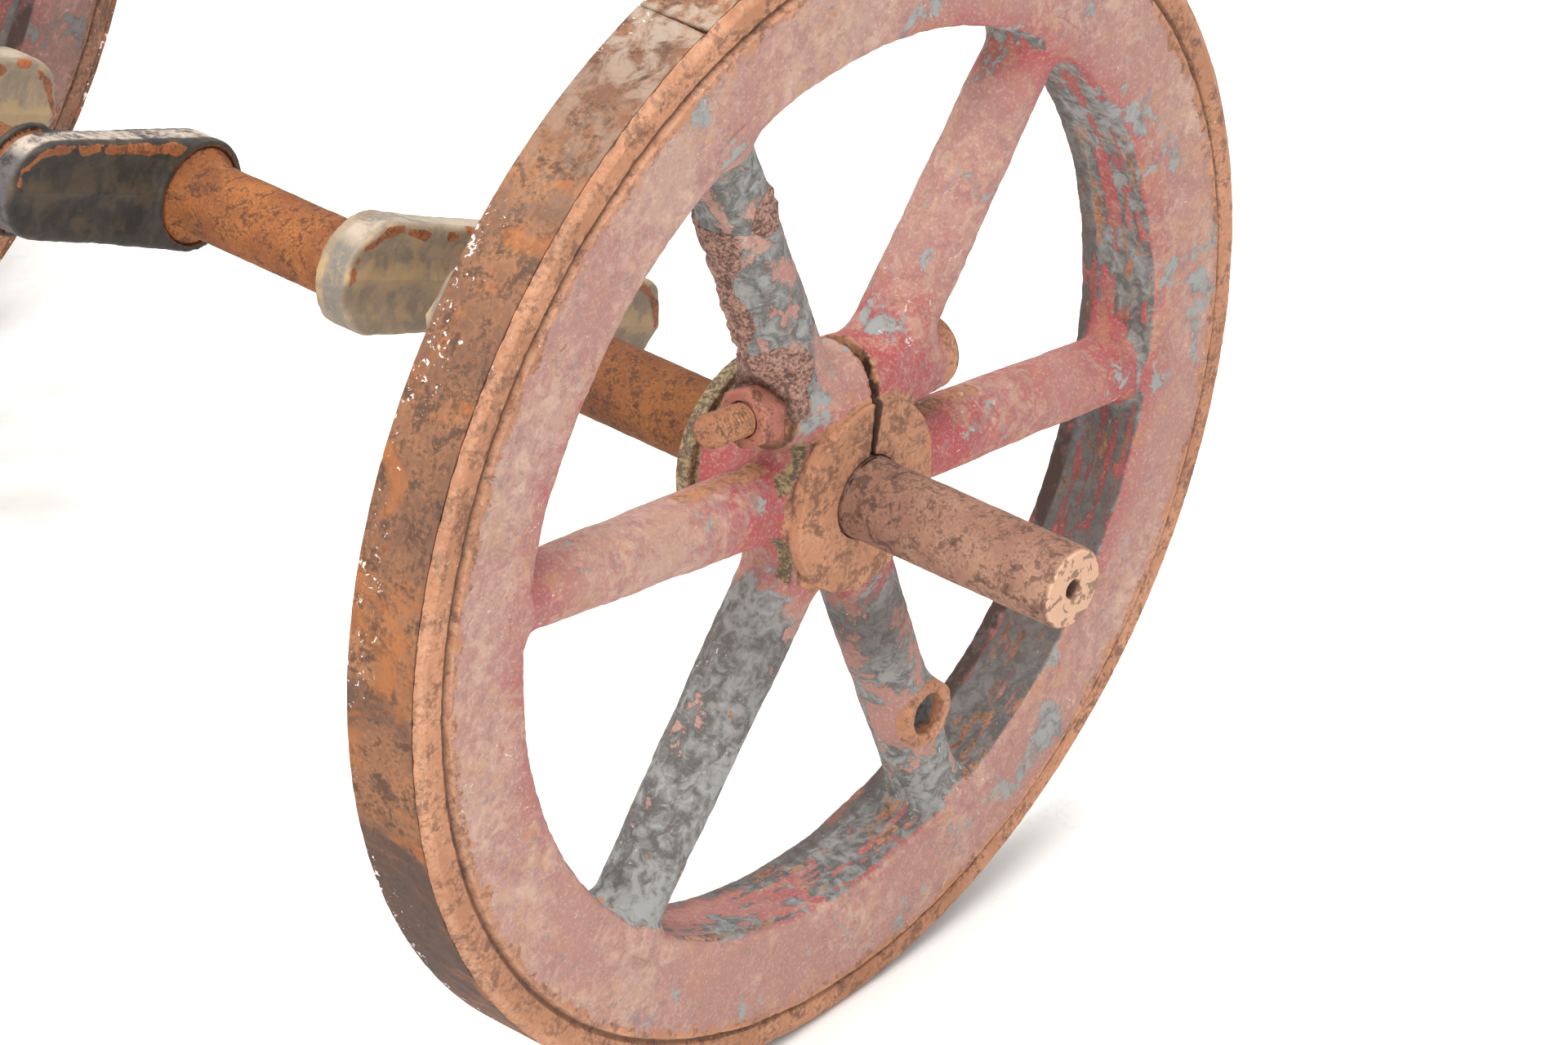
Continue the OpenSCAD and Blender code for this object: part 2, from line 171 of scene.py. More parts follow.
def shell(sdf, low, high, step):
    """Points and quads of the closed surface where sdf is 0 (surface nets, then evened out)."""
    low, high = np.array(low, float), np.array(high, float)
    count = np.ceil((high - low) / step).astype(int) + 1
    axes = [low[i] + step * np.arange(count[i]) for i in range(3)]
    inside = sdf(*np.meshgrid(*axes, indexing="ij", sparse=False)) < 0
    corners = sum(
        inside[i:count[0] - 1 + i, j:count[1] - 1 + j, k:count[2] - 1 + k].astype(np.int8)
        for i in (0, 1) for j in (0, 1) for k in (0, 1))
    active = (corners > 0) & (corners < 8)
    index = np.full(active.shape, -1)
    index[active] = np.arange(active.sum())
    points = low + step * (np.argwhere(active) + 0.5)
    quads = []
    for axis in range(3):
        u, v = (axis + 1) % 3, (axis + 2) % 3
        first = np.moveaxis(inside, axis, 0)[:-1]
        second = np.moveaxis(inside, axis, 0)[1:]
        change = np.moveaxis(first != second, 0, axis)
        at = np.argwhere(change)
        step_u, step_v = np.eye(3, dtype=int)[u], np.eye(3, dtype=int)[v]
        ring = [index[tuple((at - o).T)] for o in (0 * step_u, step_u, step_u + step_v, step_v)]
        quad = np.stack(ring, 1)
        flip = ~inside[tuple(at.T)]
        quad[flip] = quad[flip][:, ::-1]
        quads.append(quad)
    quads = np.concatenate(quads)
    points = onto(sdf, points)
    for _ in range(2):
        points = onto(sdf, relaxed(points, quads, 0.5), 2)
    return points, quads


def relaxed(points, quads, share):
    """Each point part of the way to the mean of its neighbours."""
    total, number = np.zeros_like(points), np.zeros(len(points))
    for a, b in ((0, 1), (1, 2), (2, 3), (3, 0)):
        for i, j in ((a, b), (b, a)):
            np.add.at(total, quads[:, i], points[quads[:, j]])
            np.add.at(number, quads[:, i], 1)
    mean = total / np.maximum(number, 1)[:, None]
    return points + share * (mean - points)


# ---- turned surfaces ------------------------------------------------------------------------

def rounded(outline, radii, gap=1.0):
    """Closed outline with its corners rounded and its long sides split to about gap."""
    n, out = len(outline), []
    for i in range(n):
        a, b, c = (np.array(outline[(i + k) % n], float) for k in (-1, 0, 1))
        u, v = (a - b) / np.linalg.norm(a - b), (c - b) / np.linalg.norm(c - b)
        half = math.acos(np.clip(u @ v, -1, 1)) / 2
        r = radii[i] if hasattr(radii, "__len__") else radii
        if r <= 0 or half > 1.5:
            out.append(b)
            continue
        cut = min(r / math.tan(half), 0.45 * np.linalg.norm(a - b), 0.45 * np.linalg.norm(c - b))
        for t in np.linspace(0, 1, 6):
            out.append((1 - t) ** 2 * (b + u * cut) + 2 * t * (1 - t) * b + t ** 2 * (b + v * cut))
    fine = []
    for i, p in enumerate(out):
        q = out[(i + 1) % len(out)]
        parts = max(1, int(np.linalg.norm(q - p) / gap))
        fine += [p + (q - p) * k / parts for k in range(parts)]
    return np.array(fine)


def ring_quads(rows, columns, closed_rows=True):
    """Quads of a grid of rows by columns whose columns close on themselves."""
    i, j = np.meshgrid(np.arange(rows if closed_rows else rows - 1), np.arange(columns), indexing="ij")
    i, j = i.ravel(), j.ravel()
    i2, j2 = (i + 1) % rows, (j + 1) % columns
    return np.stack([i * columns + j, i2 * columns + j, i2 * columns + j2, i * columns + j2], 1)


def turned(outline, segments):
    """A closed (radius, y) outline turned round the Y axis."""
    angle = np.linspace(0, 2 * math.pi, segments, endpoint=False)
    profile = np.array(outline)
    radius, y = profile[:, 0], profile[:, 1]
    points = np.stack([
        np.outer(np.sin(angle), radius), np.outer(np.ones(segments), y), np.outer(np.cos(angle), radius)], 2)
    return points.reshape(-1, 3), outward(ring_quads(segments, len(radius)), points.reshape(-1, 3))


def split_ring(outline, segments, middle, width):
    """As turned(), but open along a slot at the angle middle, of width(radius) across."""
    profile = np.array(outline)
    share = np.linspace(0, 1, segments)
    radius, y = profile[:, 0], profile[:, 1]
    edge = np.arcsin(np.clip(width(radius, y) / 2 / radius, 0, 0.5))
    angle = middle + edge + np.outer(share, np.ones(len(radius))) * (2 * math.pi - 2 * edge)
    points = np.stack([np.sin(angle) * radius, np.broadcast_to(y, angle.shape), np.cos(angle) * radius], 2)
    flat = points.reshape(-1, 3)
    caps = []
    for here, beside in ((0, 1), (segments - 1, segments - 2)):
        ring = list(range(here * len(radius), (here + 1) * len(radius)))
        caps.append(facing(ring, flat, points[here].mean(0) - points[beside].mean(0)))
    return flat, outward(ring_quads(segments, len(radius), closed_rows=False), flat), caps


def facing(ring, points, direction):
    """The ring's corners in the order that makes the face across it look in a direction."""
    around = points[ring] - points[ring].mean(0)
    area = np.cross(around, np.roll(around, -1, axis=0)).sum(0)
    return ring if area @ direction > 0 else ring[::-1]


def outward(quads, points):
    """The same quads, turned over if the surface would be inside out."""
    a, b, c, d = (points[quads[:, i]] for i in range(4))
    volume = (np.cross(b - a, c - a) * a).sum() + (np.cross(c - a, d - a) * a).sum()
    return quads if volume > 0 else quads[:, ::-1]


# ---- making pieces -----------------------------------------------------------------------------

def make_piece(name, parts, body, nodes, material, place=None, masks=None, mirrored=False):
    """One object from one or more (points, faces) shells, riding on a body and standing for nodes."""
    points = np.concatenate([p for p, _ in parts])
    faces, base = [], 0
    for p, quads in parts:
        for quad in quads:
            face = [int(i) + base for i in quad]
            faces.append(face[::-1] if mirrored else face)
        base += len(p)
    mesh = bpy.data.meshes.new(name)
    placed = place(points) if place else points
    mesh.from_pydata((placed * MM).tolist(), [], faces)
    mesh.validate()
    for key, values in (masks or {}).items():
        attribute = mesh.attributes.new(key, "FLOAT", "POINT")
        attribute.data.foreach_set("value", np.asarray(values, np.float32))
    mesh.polygons.foreach_set("use_smooth", [True] * len(mesh.polygons))
    mesh.update()
    piece = bpy.data.objects.new(name, mesh)
    bpy.context.scene.collection.objects.link(piece)
    piece.data.materials.append(material)
    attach(piece, body)
    for node in nodes:
        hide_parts(node)
    return piece


def normals(points, faces):
    """Mean outward direction at each point."""
    total = np.zeros_like(points)
    quads = np.array([f if len(f) == 4 else list(f[:3]) + [f[2]] for f in faces])
    cross = np.cross(points[quads[:, 2]] - points[quads[:, 0]], points[quads[:, 3]] - points[quads[:, 1]])
    for i in range(4):
        np.add.at(total, quads[:, i], cross)
    return total / np.maximum(np.linalg.norm(total, axis=1), 1e-9)[:, None]


def fractal(points, size, seed, octaves=4):
    """Fractal noise, about -1 to 1, at each point, with its largest lumps about size across."""
    shift = Vector((seed * 17.3, seed * 5.1, seed * 9.7))
    return np.array([noise.fractal(Vector(p) / size + shift, 1.0, 2.0, octaves) for p in points])


def roughened(points, faces, amount, size, seed, octaves=4, keep=None):
    """Points moved along their normals by fractal noise, mostly inwards, as rust and casting leave them."""
    height = fractal(points, size, seed, octaves) * amount - 0.35 * amount
    if keep is not None:
        height = height * keep
    return points + normals(points, faces) * np.minimum(height, 0.0)[:, None]


# ---- materials -----------------------------------------------------------------------------------

class Shader:
    """One material, with short calls for the nodes that this scene uses. Sizes are in millimetres."""

    def __init__(self, name, roughness=0.8, specular=0.3):
        self.material = bpy.data.materials.new(name)
        self.material.use_nodes = True
        self.tree = self.material.node_tree
        self.surface = self.tree.nodes["Principled BSDF"]
        self.surface.inputs["Specular IOR Level"].default_value = specular
        self.surface.inputs["Roughness"].default_value = roughness
        self.where = self.tree.nodes.new("ShaderNodeTexCoord").outputs["Object"]

    def put(self, socket, value):
        if isinstance(value, bpy.types.NodeSocket):
            self.tree.links.new(value, socket)
        elif isinstance(value, tuple):
            socket.default_value = (*value, 1.0)
        else:
            socket.default_value = value

    def moved(self, shift):
        node = self.tree.nodes.new("ShaderNodeMapping")
        self.tree.links.new(self.where, node.inputs["Vector"])
        node.inputs["Location"].default_value = (shift, -shift, 0.7 * shift)
        return node.outputs["Vector"]

    def noise(self, size, detail, rough, warp=0.0, shift=0.0):
        node = self.tree.nodes.new("ShaderNodeTexNoise")
        self.tree.links.new(self.moved(shift), node.inputs["Vector"])
        node.inputs["Scale"].default_value = 1 / (size * MM)
        node.inputs["Detail"].default_value = detail
        node.inputs["Roughness"].default_value = rough
        node.inputs["Distortion"].default_value = warp
        return node.outputs["Fac"]

    def attribute(self, name):
        node = self.tree.nodes.new("ShaderNodeAttribute")
        node.attribute_name = name
        return node.outputs["Fac"]

    def math(self, operation, a, b=0.0):
        node = self.tree.nodes.new("ShaderNodeMath")
        node.operation = operation
        self.put(node.inputs[0], a)
        self.put(node.inputs[1], b)
        return node.outputs[0]

    def add(self, a, b):
        return self.math("ADD", a, b)

    def times(self, a, b):
        return self.math("MULTIPLY", a, b)

    def total(self, *terms):
        """The sum of (value, weight) terms."""
        result = self.times(*terms[0])
        for value, weight in terms[1:]:
            result = self.add(result, self.times(value, weight))
        return result

    def above(self, value, start, end):
        """0 below start, 1 above end, smooth between."""
        node = self.tree.nodes.new("ShaderNodeMapRange")
        node.interpolation_type = "SMOOTHSTEP"
        self.put(node.inputs["Value"], value)
        node.inputs["From Min"].default_value = start
        node.inputs["From Max"].default_value = end
        return node.outputs["Result"]

    def mask(self, start, end, *terms):
        """0 where the sum of (value, weight) terms is below start, 1 where it is above end."""
        return self.above(self.total(*terms), start, end)

    def mix(self, share, a, b):
        node = self.tree.nodes.new("ShaderNodeMix")
        node.data_type = "RGBA"
        self.put(node.inputs[0], share)
        self.put(node.inputs[6], a)
        self.put(node.inputs[7], b)
        return node.outputs[2]

    def finish(self, colour, height, depth):
        """height runs from about 0 to 1 and stands for depth millimetres."""
        self.put(self.surface.inputs["Base Color"], colour)
        bump = self.tree.nodes.new("ShaderNodeBump")
        bump.inputs["Strength"].default_value = 1.0
        bump.inputs["Distance"].default_value = depth * MM
        self.put(bump.inputs["Height"], height)
        self.tree.links.new(bump.outputs["Normal"], self.surface.inputs["Normal"])
        return self.material


def srgb(*display):
    """A colour from its red, green and blue display values, 0 to 255."""
    shares = [value / 255 for value in display]
    return tuple(((c + 0.055) / 1.055) ** 2.4 if c > 0.04 else c / 12.92 for c in shares)


ORANGE_RUST = srgb(176, 104, 52)
BROWN_RUST = srgb(122, 72, 42)
DARK_RUST = srgb(66, 42, 34)
MAUVE = srgb(156, 116, 108)
ROSE = srgb(188, 160, 142)
CRIMSON = srgb(154, 74, 76)
SLATE = srgb(142, 142, 140)
DARK_SLATE = srgb(88, 86, 84)
CHALK = srgb(214, 204, 194)
# Painted shade: the colour mixed into corners, recesses and gaps that the attribute "dark" marks
PAINTED_SHADE = srgb(44, 30, 26)
SHADOW = srgb(62, 46, 42)
PLUM = srgb(130, 96, 96)
RUST_STAIN = srgb(164, 122, 88)
BLOOM = srgb(200, 174, 158)
SCUFF = srgb(118, 112, 112)
PALE_SLATE = srgb(160, 160, 158)
WORN_EDGE_HIGHLIGHT = srgb(200, 160, 134)
SOIL, PALE_SOIL = srgb(84, 72, 58), srgb(146, 126, 94)
CRUST, PALE_CRUST = srgb(88, 64, 56), srgb(162, 126, 112)
STUB_END = srgb(212, 172, 144)
TYRE_STAIN, TYRE_ORANGE, TYRE_TOP = srgb(66, 54, 50), srgb(150, 90, 48), srgb(146, 130, 116)
SCALE_HEIGHT = (0.3, 0.3, 0.3)
# Rust palettes: light, middle, dark
JOURNAL_PALETTE = srgb(156, 98, 52), srgb(112, 66, 40), srgb(58, 36, 32)
STUB_PALETTE = srgb(152, 118, 98), srgb(124, 88, 74), srgb(84, 58, 50)
TYRE_PALETTE = srgb(142, 98, 68), srgb(98, 70, 56), srgb(56, 44, 40)
PAINTED_RUST_PALETTE = srgb(192, 140, 110), srgb(160, 112, 84), srgb(100, 70, 56)


def rust_layers(s, light, middle, dark, grain=1.0):
    """Colour and height of a rusty surface."""
    broad = s.noise(55 * grain, 4, 0.55, 0.4, shift=0.3)
    blotch = s.noise(11 * grain, 7, 0.65, 0.6, shift=0.9)
    fine = s.noise(2.4 * grain, 6, 0.7, 0.2, shift=1.7)
    colour = s.mix(s.mask(0.42, 0.68, (broad, 0.5), (blotch, 0.6)), middle, light)
    colour = s.mix(s.times(s.mask(0.475, 0.62, (blotch, 0.6), (fine, 0.45)), 0.85), colour, dark)
    colour = s.mix(s.times(s.above(fine, 0.56, 0.74), 0.4), colour, light)
    return colour, s.total((blotch, 0.6), (fine, 0.5))


def with_painted_shade(s, colour, amount=0.8):
    """Painted shade in the corners, recesses and gaps that the attribute "dark" marks."""
    return s.mix(s.times(s.attribute("dark"), amount), colour, PAINTED_SHADE)


def rusty(name, palette, grain):
    """Plain rust, for the fasteners."""
    s = Shader(name, 0.85, 0.25)
    colour, height = rust_layers(s, *palette, grain)
    return s.finish(with_painted_shade(s, colour), height, 0.35)


def shaft_rust():
    """Orange rust on the journals, and duller, pitted rust on the stubs outside the wheels."""
    s = Shader("shaft_rust", 0.85, 0.25)
    inner, height = rust_layers(s, *JOURNAL_PALETTE, 0.6)
    outer = rust_layers(s, *STUB_PALETTE, 0.6)[0]
    pit = s.mask(0.72, 0.78, (s.noise(7, 3, 0.6, 0.6, shift=6.6), 1), (s.noise(45, 2, 0.5, shift=3.9), 0.3))
    outer = s.mix(s.times(s.attribute("end"), 0.75), outer, STUB_END)
    outer = s.mix(s.times(pit, 0.6), outer, SHADOW)
    colour = s.mix(s.attribute("stub"), inner, outer)
    return s.finish(with_painted_shade(s, colour), s.total((height, 1), (pit, -0.5)), 0.35)


def tyre_rust():
    """Brown rust with dark and orange patches, greyer on top, with flecks of old whitewash."""
    s = Shader("tyre_rust", 0.85, 0.25)
    colour, height = rust_layers(s, *TYRE_PALETTE, 1.0)
    stain = s.mask(0.53, 0.68, (s.noise(60, 4, 0.55, 0.6, shift=5.0), 1), (s.attribute("stain"), 0.16))
    colour = s.mix(s.times(stain, 0.8), colour, TYRE_STAIN)
    orange = s.above(s.noise(38, 5, 0.6, 0.8, shift=7.3), 0.54, 0.66)
    colour = s.mix(s.times(orange, 0.55), colour, TYRE_ORANGE)
    top_patches = s.above(s.noise(14, 6, 0.65, 0.6, shift=2.9), 0.42, 0.6)
    colour = s.mix(s.times(s.attribute("top"), top_patches), colour, TYRE_TOP)
    speck = s.mask(0.915, 0.935, (s.noise(3.6, 3, 0.6, 0.8, shift=4.1), 1),
                   (s.noise(55, 2, 0.5, shift=2.2), 0.34), (s.attribute("fleck"), 0.1))
    colour = s.mix(s.times(speck, 0.9), colour, CHALK)
    return s.finish(with_painted_shade(s, colour), s.total((height, 1), (speck, 0.3)), 0.5)


def red_topcoat(s, broad, patch, small, fine):
    """The faded red topcoat, stained and chalky in places."""
    crimson = s.attribute("crimson")
    red = s.mix(s.mask(0.7, 1.15, (crimson, 1), (patch, 0.5), (broad, 0.5)), MAUVE, CRIMSON)
    faded = s.mask(0.4, 0.6, (small, 0.5), (broad, 0.5), (crimson, -0.14))
    red = s.mix(s.times(faded, 0.8), red, ROSE)
    plum = s.mask(0.47, 0.58, (s.noise(13, 7, 0.68, 0.8, shift=9.4), 0.6), (broad, 0.4))
    red = s.mix(s.times(plum, 0.35), red, PLUM)
    stain = s.mask(0.5, 0.62, (s.noise(20, 6, 0.65, 0.9, shift=4.4), 0.6), (small, 0.4))
    red = s.mix(s.times(stain, 0.45), red, RUST_STAIN)
    red = s.mix(s.times(s.above(fine, 0.5, 0.68), 0.35), red, BLOOM)
    flaws = s.mask(0.555, 0.6, (s.noise(4.5, 6, 0.7, 0.8, shift=1.9), 0.7), (patch, 0.3))
    return s.mix(s.times(flaws, 0.6), red, SCUFF)


def soil_and_crust(s, colour, patch, small, fine):
    """Painted shade where the attribute "shade" marks it, then soil, crusts of dirt and old paint, and white
    marks; also where the crusts are.
    """
    shade = s.times(s.attribute("shade"), s.mask(0.3, 0.55, (patch, 0.5), (small, 0.5)))
    colour = s.mix(shade, colour, SHADOW)
    soil = s.mask(0.6, 0.72, (s.attribute("soil"), 0.4), (patch, 0.3), (small, 0.5))
    colour = s.mix(soil, colour, s.mix(s.mask(0.9, 1.15, (small, 1), (fine, 1)), SOIL, PALE_SOIL))
    crust = s.mask(0.66, 0.71, (s.attribute("crust"), 0.6), (small, 0.5), (fine, 0.15))
    colour = s.mix(crust, colour, s.mix(s.mask(0.78, 1.05, (small, 0.8), (fine, 1)), CRUST, PALE_CRUST))
    white = s.mask(0.9, 0.95, (s.noise(4, 4, 0.7, 1.0, shift=7.7), 1), (s.noise(50, 2, 0.5, shift=8.3), 0.4))
    return s.mix(s.times(white, 0.7), colour, CHALK), crust


def painted_iron():
    """Worn red paint over blue-grey undercoat over rusty cast iron."""
    s = Shader("worn_paint_on_iron", 0.8, 0.28)
    broad = s.noise(80, 3, 0.5, 0.5, shift=0.2)
    patch = s.noise(32, 6, 0.58, 0.7, shift=1.1)
    small = s.noise(6.5, 6, 0.65, 0.7, shift=2.3)
    fine = s.noise(1.6, 5, 0.68, 0.2, shift=3.1)
    rust_colour, rust_height = rust_layers(s, *PAINTED_RUST_PALETTE)
    red = red_topcoat(s, broad, patch, small, fine)
    # The undercoat, bared where the red has flaked off
    grey = s.mix(s.mask(0.42, 0.6, (patch, 0.4), (small, 0.6)), DARK_SLATE, SLATE)
    grey = s.mix(s.times(s.above(fine, 0.54, 0.7), 0.3), grey, PALE_SLATE)
    bare = s.mask(0.655, 0.675, (s.attribute("grey"), 0.32), (patch, 0.72), (small, 0.28))
    colour = s.mix(bare, red, grey)
    # Rust, where both coats are gone
    rust_here = s.mask(0.6, 0.66, (s.attribute("rust"), 0.5), (small, 0.4),
                       (s.noise(18, 8, 0.68, 1.2, shift=5.2), 0.6))
    colour = s.mix(rust_here, colour, rust_colour)
    # Worn edges, with a painted highlight along the rim's front corner and ridge
    worn = s.times(s.attribute("wear_and_highlight"), s.mask(0.6, 0.8, (small, 1), (fine, 0.4)))
    colour = s.mix(worn, colour, WORN_EDGE_HIGHLIGHT)
    colour, crust = soil_and_crust(s, colour, patch, small, fine)
    height = s.total((small, 0.25), (fine, 0.25), (rust_height, 0.15),
                     (bare, -0.3), (rust_here, -0.25), (crust, 0.5))
    return s.finish(with_painted_shade(s, colour, 0.85), height, 0.45)


def forged(name, body, light, tan, flank, upper, amount):
    """Dark scale on a crank arm, with tan hollows, paler flanks, painted light on the flank that faces up,
    and rust along its ridges.
    """
    s = Shader(name, 0.66, 0.38)
    patch = s.noise(18, 6, 0.6, 0.6, shift=0.6)
    small = s.noise(5, 7, 0.7, 0.5, shift=1.9)
    fine = s.noise(1.2, 5, 0.7, shift=2.8)
    rust_colour, rust_height = rust_layers(s, ORANGE_RUST, BROWN_RUST, DARK_RUST, 0.7)
    colour = s.mix(s.mask(0.36, 0.68, (patch, 0.6), (small, 0.4)), body, light)
    tan_here = s.mask(0.5, 0.82, (s.attribute("tan"), 0.3), (patch, 0.5), (small, 0.5))
    colour = s.mix(s.times(tan_here, amount), colour, tan)
    colour = s.mix(s.times(s.attribute("flank"), s.above(small, 0.36, 0.56)), colour, flank)
    # Painted light: the flank that faces up is paler, in patches
    top_patches = s.mask(0.4, 0.55, (small, 0.5), (patch, 0.5))
    colour = s.mix(s.times(s.attribute("upper"), top_patches), colour, upper)
    colour = s.mix(s.times(s.above(fine, 0.5, 0.7), 0.3), colour, light)
    rust_here = s.mask(0.7, 0.78, (s.attribute("rust"), 0.6), (patch, 0.45), (small, 0.55))
    colour = s.mix(rust_here, colour, rust_colour)
    scale_or_rust = s.mix(rust_here, SCALE_HEIGHT, rust_height)
    return s.finish(with_painted_shade(s, colour), s.total((small, 0.5), (scale_or_rust, 0.6)), 0.3)


PAINT = painted_iron()
TREAD = tyre_rust()
JOURNAL = shaft_rust()
BOLT = rusty("bolt_rust", (srgb(188, 136, 102), srgb(150, 102, 76), srgb(86, 58, 48)), 0.5)
NUT = rusty("nut_rust", (srgb(172, 114, 96), srgb(150, 92, 80), srgb(92, 58, 50)), 0.6)
ARM_PALE = forged("pale_arm_scale", srgb(118, 104, 88), srgb(148, 130, 108), srgb(160, 134, 98),
                  srgb(104, 100, 93), srgb(160, 146, 130), 0.8)
ARM_DARK = forged("dark_arm_scale", srgb(36, 33, 31), srgb(63, 57, 50), srgb(80, 66, 48),
                  srgb(80, 74, 76), srgb(172, 158, 144), 0.6)


# ---- the wheels, with the middle of the rim at y = 0 and the outer side towards -Y -------------------

def cast_rim():
    """Cast rim: rounded inner edges, painted sides, a turned band beyond a crevice, and the tyre's seat."""
    seat_r = WHEEL_R - TYRE_T
    side = [
        (RIM_INNER_R, FACE_HALF, 7.0), (BAND_R - 1.2, FACE_HALF, 1.0), (BAND_R - 0.2, TREAD_HALF - 1.0, 0.4),
        (BAND_R + 1.4, TREAD_HALF - 1.0, 0.4), (BAND_R + 2.2, TREAD_HALF, 0.4)]
    front = [(r, -y, edge) for r, y, edge in side]
    lip = [
        (WHEEL_R - 5.0, -TREAD_HALF, 2.5), (WHEEL_R, -TREAD_HALF + 3.0, 1.0),
        (WHEEL_R, -TREAD_HALF + TYRE_LIP, 0.2),
        (seat_r, -TREAD_HALF + TYRE_LIP, 0.2), (seat_r, TREAD_HALF, 0.4)]
    corners = front + lip + side[::-1]
    outline = rounded([c[:2] for c in corners], [c[2] for c in corners], 1.8)
    return turned(outline, WHEEL_SEGMENTS)


def steel_tyre():
    """The tyre behind the rim's lip, open where its ends meet."""
    inner, front = WHEEL_R - TYRE_T + 0.05, -TREAD_HALF + TYRE_LIP + 0.25
    outline = rounded(
        [(inner, front), (WHEEL_R - 0.05, front), (WHEEL_R - 0.05, TREAD_HALF), (inner, TREAD_HALF)],
        [0.3, 0.9, 1.2, 0.3], 1.8)
    return split_ring(outline, WHEEL_SEGMENTS, TYRE_JOINT, lambda r, y: 1.2 + 2.2 * np.exp(-(y - front) / 9))


def slot_width(radius, y):
    wobble = 0.35 * np.sin(radius * 0.9 + y * 0.35) + 0.25 * np.sin(radius * 2.1 - y * 0.8)
    return 2.5 + 3.5 * radius / (BOLT_HEIGHT + LUG_R) + wobble


def hub_boss(y0, y1):
    """Turned disc at one end of the hub, split by the clamp's slot."""
    corners = [(CAST_BORE_R, y0), (BOSS_R, y0), (BOSS_R, y1), (CAST_BORE_R, y1)]
    outline = rounded(corners, [0.8, 1.3, 1.3, 0.4], 1.4)
    return split_ring(outline, 180, CLAMP_ANGLE, slot_width)


def clamp_frame(x, z):
    """Distance along the clamp bolt and height above the shaft, in the clamp's own directions."""
    return (x * math.cos(CLAMP_ANGLE) - z * math.sin(CLAMP_ANGLE),
            x * math.sin(CLAMP_ANGLE) + z * math.cos(CLAMP_ANGLE))


def bolt_distance(x, y, z):
    _, up = clamp_frame(x, z)
    return np.hypot(up - BOLT_HEIGHT, y - SPOKE_Y)


def spoke_distance(radius, angle, y):
    across, along = radius * np.sin(angle), radius * np.cos(angle)
    thick = np.interp(along, [HUB_R, RIM_INNER_R], [SPOKE_HUB_R, SPOKE_RIM_R])
    return np.hypot(across, y - SPOKE_Y) - thick


def handle_distance(x, z):
    return np.hypot(x - HANDLE_R * math.sin(HANDLE_ANGLE), z - HANDLE_R * math.cos(HANDLE_ANGLE))


def spider(x, y, z):
    """Hub, lugs, spokes and handle boss of the cast wheel, with fillets, ending inside the rim."""
    radius, angle = np.hypot(x, z), np.arctan2(x, z)
    folded = (angle - SPOKE_ANGLE + SPOKE_PITCH / 2) % SPOKE_PITCH - SPOKE_PITCH / 2
    spokes = blend_min(spoke_distance(radius, folded, y),
                       spoke_distance(radius, folded - np.copysign(SPOKE_PITCH, folded), y), 12)
    spokes = np.maximum(spokes, 20 - radius)
    hub = disc(radius, y, HUB_R, HUB_OUTER + 5, HUB_INNER - 5, 2)
    along, up = clamp_frame(x, z)
    reach = np.where(along > 0, HEAD_REACH, NUT_REACH)
    lug_r = LUG_R + (LUG_END_R - LUG_R) * np.clip(np.abs(along) / reach, 0, 1)
    lugs = blend_max(np.hypot(up - BOLT_HEIGHT, y - SPOKE_Y) - lug_r, np.abs(along) - reach, 2)
    half = LUG_R - 1.5
    root = np.maximum(np.maximum(np.abs(along), np.abs(y - SPOKE_Y)) - half, np.abs(up - 22) - 23)
    solid = blend_min(spokes, hub, 11)
    solid = blend_min(solid, blend_min(lugs, root, 6), 8)
    solid = blend_min(solid, rim_inside(radius, y), 11)
    to_handle = handle_distance(x, z)
    solid = blend_min(solid, disc(to_handle, y, HANDLE_BOSS_R, HANDLE_FACE, SPOKE_Y, 1.2), 5)
    # Cuts: bore, slot, bolt hole, room for the nut, handle hole
    solid = np.maximum(solid, CAST_BORE_R - radius)
    slot = np.maximum(np.abs(along) - slot_width(radius, y) / 2, -up)
    solid = blend_max(solid, -slot, 0.8)
    bolt = bolt_distance(x, y, z)
    solid = np.maximum(solid, BOLT_HOLE_R - bolt)
    spot_face = np.maximum(bolt - SPOT_FACE_R, along + NUT_REACH)
    solid = blend_max(solid, -spot_face, 1.0)
    hole = np.maximum(to_handle - HANDLE_HOLE_R, y - (HANDLE_FACE + HANDLE_HOLE_DEPTH))
    solid = blend_max(solid, -hole, 1.2)
    return np.maximum(solid, radius - (RIM_INNER_R + 14))


def rim_inside(radius, y):
    """The rim's section, a little inside its real surface, so that only the spokes' fillets show."""
    dr = np.abs(radius - (RIM_INNER_R + 25)) - 18.0
    dy = np.abs(y) - (FACE_HALF - 7.0)
    return np.hypot(np.maximum(dr, 0), np.maximum(dy, 0)) + np.minimum(np.maximum(dr, dy), 0) - 6.5


def spoke_weights(points, table):
    """A value per spoke, in the spokes' order, that fades into the next one's half-way between them."""
    angle = np.arctan2(points[:, 0], points[:, 2])
    turn = ((angle - SPOKE_ANGLE) / SPOKE_PITCH) % SPOKES
    lower = np.floor(turn).astype(int) % SPOKES
    share = np.clip((turn - np.floor(turn) - 0.5) * 6 + 0.5, 0, 1)
    table = np.array(table)
    return table[lower] * (1 - share) + table[(lower + 1) % SPOKES] * share


